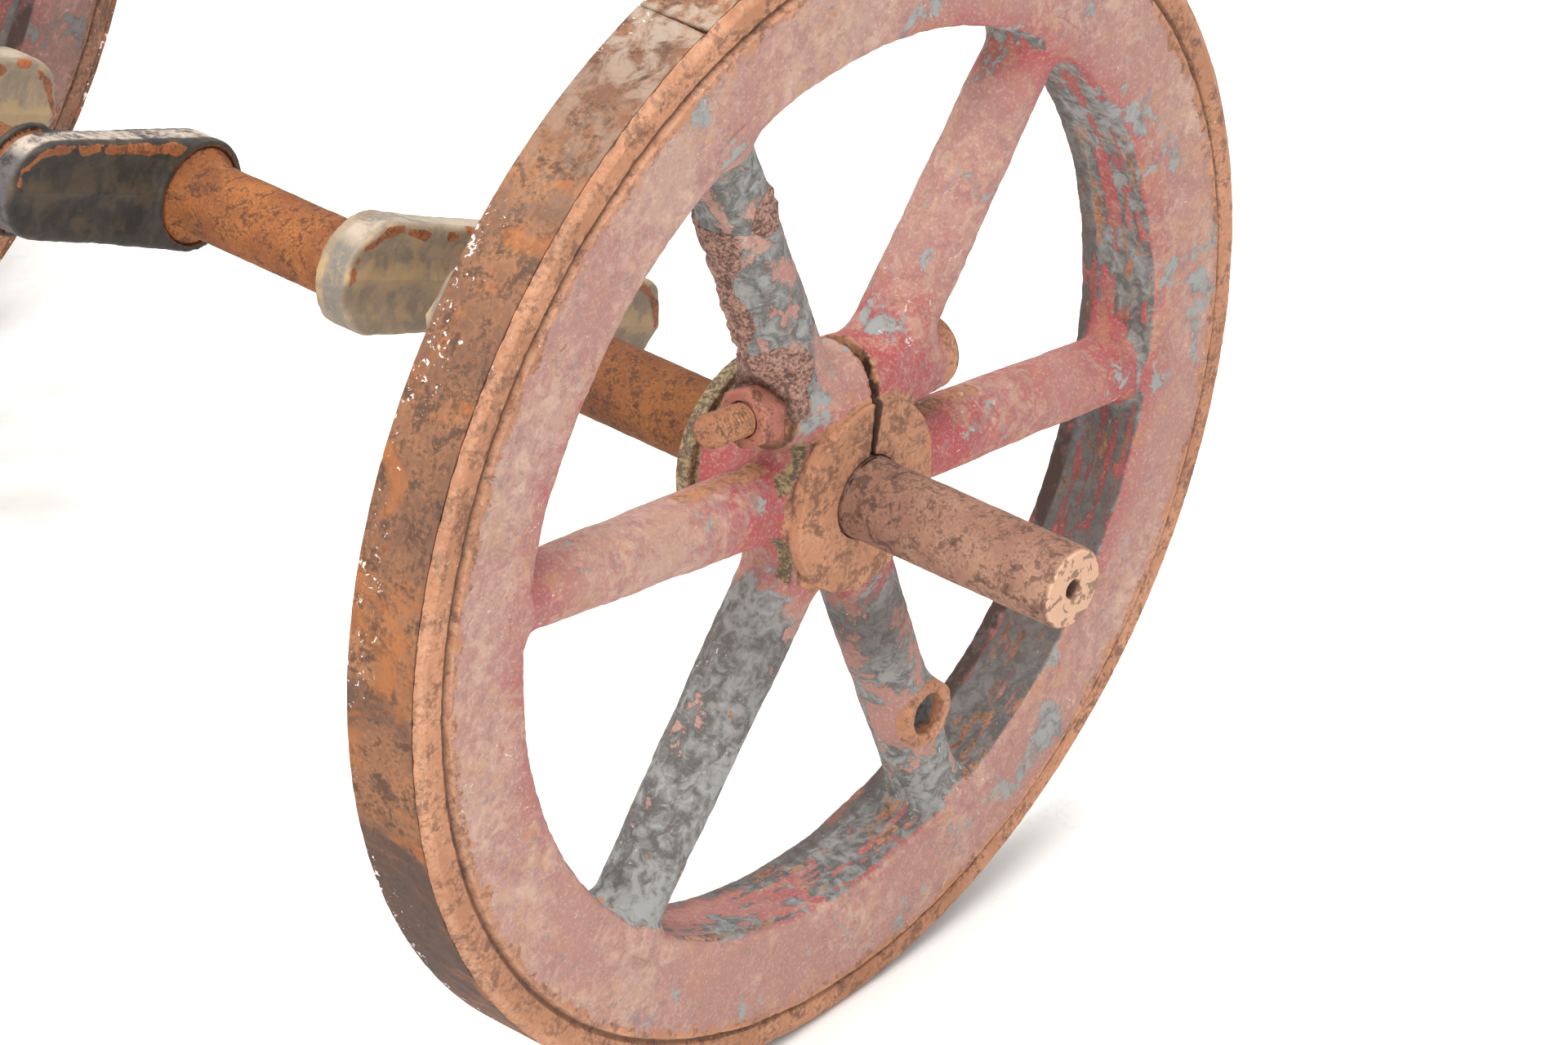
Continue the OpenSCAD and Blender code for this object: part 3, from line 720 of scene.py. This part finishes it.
def crust_place(points):
    """1 where flakes of paint and dirt cling: down one side of the first spoke and round the nut's lug."""
    x, y, z = points.T
    along = x * math.sin(SPOKE_ANGLE) + z * math.cos(SPOKE_ANGLE)
    across = x * math.cos(SPOKE_ANGLE) - z * math.sin(SPOKE_ANGLE)
    off = np.hypot(across, y - SPOKE_Y)
    facing = (-across * 0.98 + (y - SPOKE_Y) * 0.17) / np.maximum(off, 1)
    ragged = 0.12 * np.sin(along / 7) + 0.1 * np.sin(along / 17 + 1)
    strip = (facing > 0.8 + ragged) * (along > 50) * (along < 176) * (off < 26) * (off > 10)
    place = strip * 1.0
    for cx, cy, cz, r in ((-43, -17, 78, 17), (-39, -22, 62, 10), (-56, -19, 165, 13)):
        place = np.maximum(place, np.clip((r - np.linalg.norm(points - [cx, cy, cz], axis=1)) / 3, 0, 1))
    # None inside the bolt's hole
    return place * (bolt_distance(x, y, z) > BOLT_R + 3)


def wheel_masks(points):
    """Where the wheel's paint is crimson, bared to its undercoat, rusted away, worn or soiled, and where
    shade and a highlight are painted on it.
    """
    x, y, z = points.T
    radius = np.hypot(x, z)
    angle = np.degrees(np.arctan2(x, z))
    on_rim = np.clip((radius - RIM_INNER_R + 6) / 8, 0, 1)
    on_hub = np.clip((75 - radius) / 25, 0, 1)
    inner_side = np.clip((y - 4) / 10, 0, 1)
    right = 0.5 + 0.5 * np.cos(np.radians(angle - 95))
    roots = np.exp(-((radius - RIM_INNER_R) / 22) ** 2) + 0.8 * np.exp(-((radius - 68) / 24) ** 2)
    crimson = spoke_weights(points, [0.1, 0.3, 0.42, 0.2, 0.05, 0.3]) * (1 - on_rim) + 0.3 * on_hub
    crimson = crimson + on_rim * 0.14 + 0.3 * roots * spoke_weights(points, [0.3, 1.1, 1.1, 0.6, 0.5, 1.0])
    grey = spoke_weights(points, [0.66, 0.3, 0.16, 0.6, 0.85, 0.2]) * (1 - on_rim) * (1 - 0.8 * on_hub)
    lining = np.exp(-(np.maximum(radius - RIM_INNER_R, 0) / 4.0) ** 2) * on_rim * (np.abs(y) < 21)
    streaks = fractal(np.stack([angle / 16, y / 3.2, radius * 0], 1), 1.0, 2.0, 4)
    grey = grey + on_rim * (0.1 + 0.22 * right) + 0.05 * inner_side
    grey = grey + lining * (0.35 + 0.3 * right + 0.9 * streaks)
    crimson = crimson + lining * 0.25
    rust = 0.45 * np.clip((radius - BAND_R + 10) / 9, 0, 1)
    rust = rust + 0.75 * np.clip((radius - BAND_R + 1.5) / 2.0, 0, 1)
    rust = rust + lining * np.clip(0.45 * streaks + 0.1, 0, 0.5)
    shade = lining * 0.9 * np.exp(-((angle - 128) / 36) ** 2) + 0.6 * inner_side * on_rim * (y > 12)
    below_hub = np.exp(-((radius - 88) / 26) ** 2) * (radius > 50)
    shade = shade + 0.6 * spoke_weights(points, [0, 0, 0, 1, 0.5, 0]) * below_hub
    boss = ((y < HUB_OUTER + BOSS_W + 0.6) | (y > HUB_INNER - BOSS_W - 0.6)) & (radius < BOSS_R + 3)
    rust = np.maximum(rust, boss * 1.0)
    to_handle = handle_distance(x, z)
    rust = np.maximum(rust, np.clip((HANDLE_BOSS_R + 1 - to_handle) / 2, 0, 1) * (y < -17) * 1.0)
    along, up = clamp_frame(x, z)
    bolt = bolt_distance(x, y, z)
    near_clamp = radius < 105
    lug_ends = (along > HEAD_REACH - 9) | (along < -NUT_REACH + 3)
    rust = np.maximum(rust, near_clamp * lug_ends * np.clip((30 - bolt) / 6, 0, 0.7))
    off_slot = np.abs(along) - slot_width(radius, y) / 2
    rust = np.maximum(rust, (off_slot < 1.0) * (up > 0) * (radius < 90) * 0.9)
    # Worn paint with a painted highlight along the rim's front corner and along the ridge at the turned band
    wear_and_highlight = 0.6 * np.exp(-((radius - WHEEL_R + 3.2) / 1.1) ** 2)
    wear_and_highlight = wear_and_highlight + 0.4 * np.exp(-((radius - BAND_R + 1.0) / 1.2) ** 2)
    barrel = np.exp(-((y - HUB_OUTER - BOSS_W - 5) / 5) ** 2) * (radius < 52) * (angle < 60)
    soil = barrel + 0.9 * (y > HUB_INNER - BOSS_W - 2) * (radius < BOSS_R + 3)
    soil = soil + 0.5 * np.exp(-((y - 9) / 6) ** 2) * (radius > 60) * (radius < RIM_INNER_R - 4)
    # Painted shade in the crevice at the turned band, in the clamp's slot, deep in the handle hole, between
    # the nut and the spoke, and in the undercut behind the outer boss
    dark = np.exp(-((radius - BAND_R - 0.6) / 1.1) ** 2) * (np.abs(y) > TREAD_HALF - 2)
    dark = np.maximum(dark, (off_slot < 0.2) * (up > 0) * (radius < 80))
    dark = np.maximum(dark, (to_handle < 9.6) * (y > -FACE_HALF + 9) * (y < -8) * 0.6)
    dark = np.maximum(dark, near_clamp * (along < -NUT_REACH + 2) * np.exp(-((bolt - 17) / 2.5) ** 2) * 0.8)
    undercut = np.exp(-((y - (HUB_OUTER + BOSS_W)) / 1.2) ** 2) * (radius < BOSS_R + 1) * (radius > 36)
    dark = np.maximum(dark, undercut * 0.8)
    return {"crimson": crimson, "grey": grey, "rust": rust, "wear_and_highlight": wear_and_highlight, "soil": soil,
            "crust": crust_place(points), "shade": shade, "dark": dark}


def all_points(parts):
    return np.concatenate([p for p, _ in parts])


def wheel_parts():
    """The shells of one cast wheel, roughened as an old casting is."""
    rim = cast_rim()
    middle = shell(spider, [-230, -30, -230], [230, 40, 230], CAST_STEP)
    bosses = [hub_boss(HUB_OUTER, HUB_OUTER + BOSS_W), hub_boss(HUB_INNER - BOSS_W, HUB_INNER)]
    parts = []
    for seed, (points, faces) in enumerate((rim, middle)):
        machined = np.exp(-(np.maximum(np.hypot(points[:, 0], points[:, 2]) - BAND_R, 0) / 6))
        coarse = roughened(points, faces, 0.55, 26, SEED_CASTING + seed, 3, keep=0.3 + 0.7 * machined)
        lumps = crust_place(points) * (1.6 + 1.6 * fractal(points, 7, 5.0, 3))
        coarse = coarse + normals(points, faces) * np.clip(lumps, 0, 2.6)[:, None]
        parts.append((roughened(coarse, faces, 0.35, 5, SEED_CAST_SKIN + seed, 4), faces))
    for seed, (points, faces, caps) in enumerate(bosses):
        parts.append((roughened(points, faces, 0.3, 6, SEED_BOSS + seed, 4), list(faces) + caps))
    return parts


def tyre_parts():
    points, faces, caps = steel_tyre()
    keep = 0.25 + 0.75 * np.clip((TREAD_HALF - np.abs(points[:, 1])) / 3, 0, 1)
    points = roughened(points, faces, 0.5, 9, SEED_TYRE, 5, keep=keep)
    return [(points, list(faces) + caps)]


def at_near(points):
    return points + [0, RIM_MID, 0]


def at_far(points):
    return points * [1, -1, 1] - [0, RIM_MID, 0]


SIDES = (("near", at_near, False), ("far", at_far, True))


def make_wheels():
    wheel, tyre = wheel_parts(), tyre_parts()
    masks = wheel_masks(all_points(wheel))
    tread = all_points(tyre)
    turn = np.degrees(np.arctan2(tread[:, 0], tread[:, 2]))
    tread_masks = {
        "fleck": np.clip((tread[:, 1] + 2) / 20, -0.6, 1), "stain": np.exp(-((turn + 112) / 26) ** 2),
        "top": np.exp(-((turn + 14) / 17) ** 2),
        # Painted shade along the tyre's edge where it meets the rim's lip
        "dark": 0.7 * np.exp(-((tread[:, 1] + TREAD_HALF - TYRE_LIP) / 0.5) ** 2)}
    for side, place, mirrored in SIDES:
        body = side + "_flywheel"
        make_piece(side + "_cast_wheel", wheel, body, [side + "_wheel"], PAINT,
                   place, masks, mirrored)
        make_piece(side + "_steel_tyre", tyre, body, [side + "_tyre"], TREAD,
                   place, tread_masks, mirrored)


# ---- clamp bolts and nuts, drawn along Y and then laid on the clamp's line -----------------------------

def on_clamp_line(points):
    """From (side, along, up) about the bolt's own axis to the wheel's frame."""
    side, along, up = points.T
    x = along * math.cos(CLAMP_ANGLE) + (BOLT_HEIGHT + up) * math.sin(CLAMP_ANGLE)
    z = -along * math.sin(CLAMP_ANGLE) + (BOLT_HEIGHT + up) * math.cos(CLAMP_ANGLE)
    return np.stack([x, SPOKE_Y - side, z], 1)


def bolt_parts():
    """Round-headed bolt with a worn helical thread."""
    start, end = -NUT_REACH - NUT_H - THREAD_END, HEAD_REACH
    dome = (HEAD_R ** 2 + HEAD_H ** 2) / (2 * HEAD_H)
    head = [(HEAD_R * math.cos(t), end + HEAD_H - dome + math.sqrt(dome ** 2 - (HEAD_R * math.cos(t)) ** 2))
            for t in np.linspace(0, math.pi / 2 - 0.02, 16)]
    along = np.concatenate([[start, start + 0.4], np.arange(start + 0.8, -NUT_REACH + 4, 0.38),
                            np.arange(-NUT_REACH + 5, end, 3.0), [end]])
    rows, columns = [], BOLT_SEGMENTS
    turn = np.linspace(0, 2 * math.pi, columns, endpoint=False)
    for a in along:
        phase = (a / THREAD_PITCH - turn / (2 * math.pi)) % 1
        depth = THREAD_DEPTH * (1 - np.abs(2 * phase - 1) ** 1.3)
        worn = BOLT_R - 0.08 - depth * (1 if a < -NUT_REACH + 2 else 0)
        rows.append(np.stack([worn * np.sin(turn), np.full(columns, a), worn * np.cos(turn)], 1))
    # A flat end with a small chamfer
    tip = rows.pop(0)
    flat = [tip * [share, 1, share] for share in (0.05, 0.4, 0.7, 0.84)]
    rows = flat + [tip * [0.9, 1, 0.9] + [0, 0.3, 0]] + rows
    for r, a in head:
        rows.append(np.stack([r * np.sin(turn), np.full(columns, a), r * np.cos(turn)], 1))
    points = np.concatenate(rows)
    sides = ring_quads(len(rows), columns, closed_rows=False)
    faces = outward(sides, points)
    first, last = list(range(columns)), list(range(len(points) - columns, len(points)))
    points = roughened(points, faces, 0.22, 4, SEED_BOLT, 4)
    return [(points, list(faces) + [facing(first, points, (0, -1, 0)), facing(last, points, (0, 1, 0))])]


def nut_parts():
    """Hexagonal nut with worn, chamfered corners."""
    def nut(x, y, z):
        across = np.max([np.abs(x * math.cos(t) + z * math.sin(t)) for t in np.radians([0, 60, 120])], 0)
        radius = np.hypot(x, z)
        outer, inner = -NUT_REACH - NUT_H, -NUT_REACH
        block = blend_max(across - NUT_FLATS / 2, np.maximum(y - inner, outer - y), 1.2)
        block = blend_max(block, (radius - NUT_FLATS / 2 - (y - outer) * 1.2) * 0.7, 1.0)
        return blend_max(block, BOLT_R + 0.1 - radius, 0.6)
    points, faces = shell(nut, [-18, -NUT_REACH - NUT_H - 2, -18], [18, -NUT_REACH + 2, 18], NUT_STEP)
    return [(roughened(points, faces, 0.35, 5, SEED_NUT, 4), faces)]


def make_fasteners():
    bolt, nut = bolt_parts(), nut_parts()
    for side, place, mirrored in SIDES:
        for name, parts, material in (("bolt", bolt, BOLT), ("nut", nut, NUT)):
            make_piece(f"{side}_clamp_{name}_worn", parts, f"{side}_{name}", [f"{side}_clamp_{name}"],
                       material, lambda p: place(on_clamp_line(p)), {}, mirrored)


# ---- the crankshaft ----------------------------------------------------------------------------------

def off_axis(angle):
    return np.array([THROW * math.sin(angle), 0, THROW * math.cos(angle)])


def journal_shell(outline, segments, seed):
    """A turned bar whose outline runs from its axis at one end to its axis at the other."""
    points, faces = turned(outline, segments)
    return roughened(points, faces, 0.28, 7, seed, 5), faces


def bar_outline(corners, edges):
    """Closed outline of a solid bar: corners along its outside, closed by a line just off its axis."""
    (_, y0), (_, y1) = corners[0], corners[-1]
    return rounded([(0.3, y0)] + corners + [(0.3, y1)], [0] + edges + [0], 1.6)


def shoulder(face_y, side, r):
    """Outline at an arm's face: a shoulder in the recess and a slope down to the journal; side is -1 or 1."""
    return [(COLLAR_R - 0.3, face_y - 1.8 * side), (COLLAR_R - 0.6, face_y - 0.2 * side),
            (COLLAR_R - 1.6, face_y + 0.8 * side), (r, face_y + 5.5 * side)]


def inner_journal(y0, y1, r):
    """Journal between two arms, with a shoulder and a short slope at each end."""
    corners = shoulder(y0, 1, r) + shoulder(y1, -1, r)[::-1]
    return bar_outline(corners, [0.2, 0.5, 0.8, 3.0, 3.0, 0.8, 0.5, 0.2])


def half_shaft_outline(arm_y):
    """Stub, wheel seat and outer journal, with the lathe centre in the stub's end."""
    end, seat = -HALF_LENGTH, extent("near_wheel")[0][1] - 2
    corners = [(2.0, end + 11), (2.0, end + 5.2), (4.9, end + 0.2), (SHAFT_R - 1.6, end),
               (SHAFT_R, end + 1.8), (SHAFT_R, seat), (SEAT_R, seat + 0.3)]
    corners = corners + shoulder(arm_y, -1, SEAT_R)[::-1]
    outline = [(0.3, end + 11)] + corners + [(0.3, arm_y + 1.8)]
    return rounded(outline, [0, 0.2, 0.4, 0.9, 0.8, 1.0, 0.1, 0.1, 3.0, 0.8, 0.5, 0.2, 0], 1.6)


def arm_outline(x, z):
    """Distance outside the arm's outline: two round ends and straight, slightly closing flanks."""
    lean = math.asin((ARM_MAIN_R - ARM_PIN_R) / THROW)
    flank = np.abs(x) * math.cos(lean) + z * math.sin(lean) - ARM_MAIN_R
    ends = np.where(z < 0, np.hypot(x, z) - ARM_MAIN_R, np.hypot(x, z - THROW) - ARM_PIN_R)
    return np.where((z > 0) & (z < THROW), flank, ends)


def arm_masks(points, main_side, pin_side, top_side):
    """Rust on an upright arm's ridges and in its recesses, tan hollows, paler flanks, painted light on the
    flank that faces up, and painted shade round the journals' shoulders.
    """
    x, y, z = points.T
    inside = -arm_outline(x, z)
    face = np.clip((np.abs(y) - ARM_T / 2 + 6.5) / 2, 0, 1)
    wander, ragged = fractal(points, 26, 4.0, 3), fractal(points, 13, 6.0, 4)
    edge = np.exp(-((inside - 4.5 - 3 * wander) / 2.6) ** 2)
    toward_top = np.clip(0.35 + x * top_side / 20, 0, 1)
    rust = face * edge * np.clip(0.75 + 1.3 * ragged, 0, 1.2) * np.clip(0.1 + toward_top, 0, 1)
    tan = face * np.clip(np.exp(-((x - 3 * wander) / 6) ** 2) + 1.4 * ragged, 0, 1)
    # Painted light on the flank that faces up
    upper = np.clip((x * top_side - 14) / 6, 0, 1) * (1 - face)
    dark = np.zeros_like(x)
    for centre, side in ((0.0, main_side), (THROW, pin_side)):
        from_axis = np.hypot(x, z - centre)
        journal_face = y * side > ARM_T / 2 - 5
        rust = np.where(journal_face & (from_axis < COLLAR_R + 4.5), 0.0, rust)
        rust = np.maximum(rust, journal_face * (from_axis < COLLAR_R + 0.4) * 1.3)
        # Painted shade in the corner round each journal's shoulder
        dark = np.maximum(dark, journal_face * 0.6 * np.exp(-((from_axis - COLLAR_R) / 0.6) ** 2))
    return {"rust": rust, "tan": tan * (1 - edge), "flank": 1 - face, "upper": upper, "dark": dark}


def arm_shell(main_side, pin_side, top_side, seed):
    """A crank arm that stands up from the shaft: rounded, and hollowed along both faces."""
    def arm(x, y, z):
        # Two long hollows with a low ridge between them, stopped only by the bosses that hold journals
        hollow = 2.4 * np.clip(1 - ((np.abs(x) - 9.9) / 9.9) ** 2, 0, 1)
        open_main = np.where(y * main_side > 0, np.clip((z - 25) / 9, 0, 1), 1)
        open_pin = np.where(y * pin_side > 0, np.clip((THROW - 21 - z) / 9, 0, 1), 1)
        faces = np.abs(y) - (ARM_T / 2 - (1.3 + hollow) * open_main * open_pin)
        solid = blend_max(arm_outline(x, z), faces, 4.2)
        for centre, side in ((0.0, main_side), (THROW, pin_side)):
            from_axis = np.hypot(x, z - centre)
            bead = np.hypot(from_axis - COLLAR_R - 1.9, np.maximum(ARM_T / 2 - 1.9 - y * side, 0)) - 1.7
            solid = blend_min(solid, np.where(y * side > 0, np.maximum(bead, y * side - ARM_T / 2), 9.0), 1.2)
            recess = np.maximum(from_axis - COLLAR_R, (ARM_T / 2 - 2.0) - y * side)
            solid = blend_max(solid, -recess, 0.8)
        return solid
    points, faces = shell(arm, [-32, -14, -32], [32, 14, THROW + 28], ARM_STEP)
    masks = arm_masks(points, main_side, pin_side, top_side)
    points = roughened(points, faces, 0.5, 22, seed, 3)
    return roughened(points, faces, 0.35, 5, seed + 5, 4), faces, masks


def turned_to(points, angle):
    """Upright points turned to an angle round the shaft."""
    x, y, z = points.T
    sin, cos = math.sin(angle), math.cos(angle)
    return np.stack([x * cos + z * sin, y, -x * sin + z * cos], 1)


def make_crankshaft():
    near_angle, far_angle = CRANK_ANGLE + math.pi, CRANK_ANGLE
    arms = [("near_outer_arm", near_angle, -1, 1, ARM_PALE), ("near_inner_arm", near_angle, 1, -1, ARM_PALE),
            ("far_inner_arm", far_angle, -1, 1, ARM_DARK), ("far_outer_arm", far_angle, 1, -1, ARM_PALE)]
    for seed, (node, angle, main_side, pin_side, material) in enumerate(arms):
        low, high = extent(node)
        centre = (low[1] + high[1]) / 2
        top_side = 1 if angle == far_angle else -1
        points, faces, masks = arm_shell(main_side, pin_side, top_side, SEED_ARM + seed)
        placed = turned_to(points, angle) + [0, centre, 0]
        make_piece(node + "_forging", [(placed, faces)], "crankshaft", [node],
                   material, None, masks)
    edge = {name: extent(name) for name, *_ in arms}
    spans = [
        ("near_crankpin", "near_outer_arm", "near_inner_arm", PIN_R, off_axis(near_angle)),
        ("centre_journal", "near_inner_arm", "far_inner_arm", SHAFT_R, np.zeros(3)),
        ("far_crankpin", "far_inner_arm", "far_outer_arm", PIN_R, off_axis(far_angle))]
    for seed, (node, before, after, r, shift) in enumerate(spans):
        outline = inner_journal(edge[before][1][1], edge[after][0][1], r)
        points, faces = journal_shell(outline, JOURNAL_SEGMENTS, SEED_JOURNAL + seed)
        make_piece(node + "_turned", [(points + shift, faces)], "crankshaft", [node], JOURNAL)
    hub_face = extent("near_wheel")[0][1]
    for side, seed, flip in (("near", SEED_SHAFT, 1), ("far", SEED_SHAFT + 1, -1)):
        arm_face = edge["near_outer_arm"][0][1] if flip > 0 else -edge["far_outer_arm"][1][1]
        points, faces = journal_shell(half_shaft_outline(arm_face), SHAFT_SEGMENTS, seed)
        # Painted shade in the lathe centre, where the shaft meets the hub's face, and along the shaft from
        # inside the hub to the arm
        dark = 0.8 * (np.hypot(points[:, 0], points[:, 2]) < 4.6)
        dark = np.maximum(dark, 0.6 * np.exp(-((points[:, 1] - hub_face) / 1.5) ** 2))
        dark = np.maximum(dark, 0.36 * (points[:, 1] > hub_face + 20))
        end = np.clip((1.6 - HALF_LENGTH - points[:, 1]) / 1.2, 0, 1)
        masks = {"dark": dark, "stub": (points[:, 1] < hub_face + 20) * 1.0, "end": end}
        make_piece(side + "_shaft_turned", [(points * [1, flip, 1], faces)], "crankshaft", [side + "_shaft"],
                   JOURNAL, None, masks, flip < 0)


make_wheels()
make_fasteners()
make_crankshaft()


# ---- floor, light and camera -----------------------------------------------------------------------

def make_floor():
    s = Shader("pale_floor", 0.7, 0.2)
    smudge = s.noise(260, 6, 0.6, 0.8, shift=3.0)
    line = s.above(s.math("ABSOLUTE", s.add(s.noise(700, 9, 0.62, 2.5, shift=6.0), -0.5)), 0.004, 0.0)
    # Greyer towards the left, broken up by smudges
    grey = s.times(s.attribute("grey"), s.above(smudge, 0.3, 0.7))
    clean, greyer_left = (0.9, 0.895, 0.885), (0.5, 0.488, 0.47)
    crack, dust = (0.4, 0.38, 0.36), (0.32, 0.3, 0.28)
    colour = s.mix(grey, clean, greyer_left)
    colour = s.mix(s.times(line, 0.12), colour, crack)
    speck = s.times(s.above(s.noise(15, 3, 0.6, 0.5, shift=9.0), 0.74, 0.8), s.attribute("grey"))
    colour = s.mix(s.times(speck, 0.6), colour, dust)
    material = s.finish(colour, smudge, 0.1)
    z, reach, count = float(cad_low.z) - 0.0005, 8, 81
    along = np.linspace(-reach, reach, count)
    x, y = (v.ravel() for v in np.meshgrid(along, along, indexing="ij"))
    quads = ring_quads(count, count, closed_rows=False)
    quads = quads[quads[:, 0] % count < count - 1]
    mesh = bpy.data.meshes.new("floor")
    mesh.from_pydata(np.stack([x, y, x * 0 + z], 1).tolist(), [], quads.tolist())
    towards_left = 0.76 * y - 0.65 * x
    mesh.attributes.new("grey", "FLOAT", "POINT").data.foreach_set(
        "value", np.clip((towards_left + 0.3) / 0.5, 0, 1).astype(np.float32))
    floor = bpy.data.objects.new("floor", mesh)
    bpy.context.scene.collection.objects.link(floor)
    floor.data.materials.append(material)


def area_light(name, place, target, size, power, colour):
    lamp = bpy.data.lights.new(name, "AREA")
    lamp.shape = "RECTANGLE"
    lamp.size, lamp.size_y = size
    lamp.energy = power
    lamp.color = colour
    holder = bpy.data.objects.new(name, lamp)
    holder.location = place
    holder.rotation_euler = (Vector(target) - Vector(place)).to_track_quat("-Z", "Y").to_euler()
    bpy.context.scene.collection.objects.link(holder)


def make_light():
    world = bpy.data.worlds.new("studio")
    world.use_nodes = True
    world.node_tree.nodes["Background"].inputs["Color"].default_value = (1.0, 0.99, 0.98, 1)
    world.node_tree.nodes["Background"].inputs["Strength"].default_value = 1.0
    bpy.context.scene.world = world
    area_light("overhead", (-0.6, -0.2, 3.0), (0, 0, 0), (3.2, 3.2), 150, (1.0, 0.985, 0.96))
    area_light("side", (-3.0, -0.4, 1.6), (0, -0.2, 0), (2.4, 2.0), 60, (1.0, 0.98, 0.95))


def make_camera():
    """At the photograph's viewing angle: above the near end, on the -X side, without shift."""
    right = Vector((0.65023, -0.75973, 0.0))
    up = Vector((0.40575, 0.34727, 0.84544))
    back = right.cross(up)
    data = bpy.data.cameras.new("camera")
    data.sensor_width = 36
    data.lens = 154.58
    data.clip_end = 50
    camera = bpy.data.objects.new("camera", data)
    camera.matrix_world = Matrix((right, up, back)).transposed().to_4x4()
    camera.location = (-1.9358, -2.0021, 1.5762)
    bpy.context.scene.collection.objects.link(camera)
    bpy.context.scene.camera = camera


make_floor()
make_light()
make_camera()
bpy.context.scene.view_settings.view_transform = "Standard"
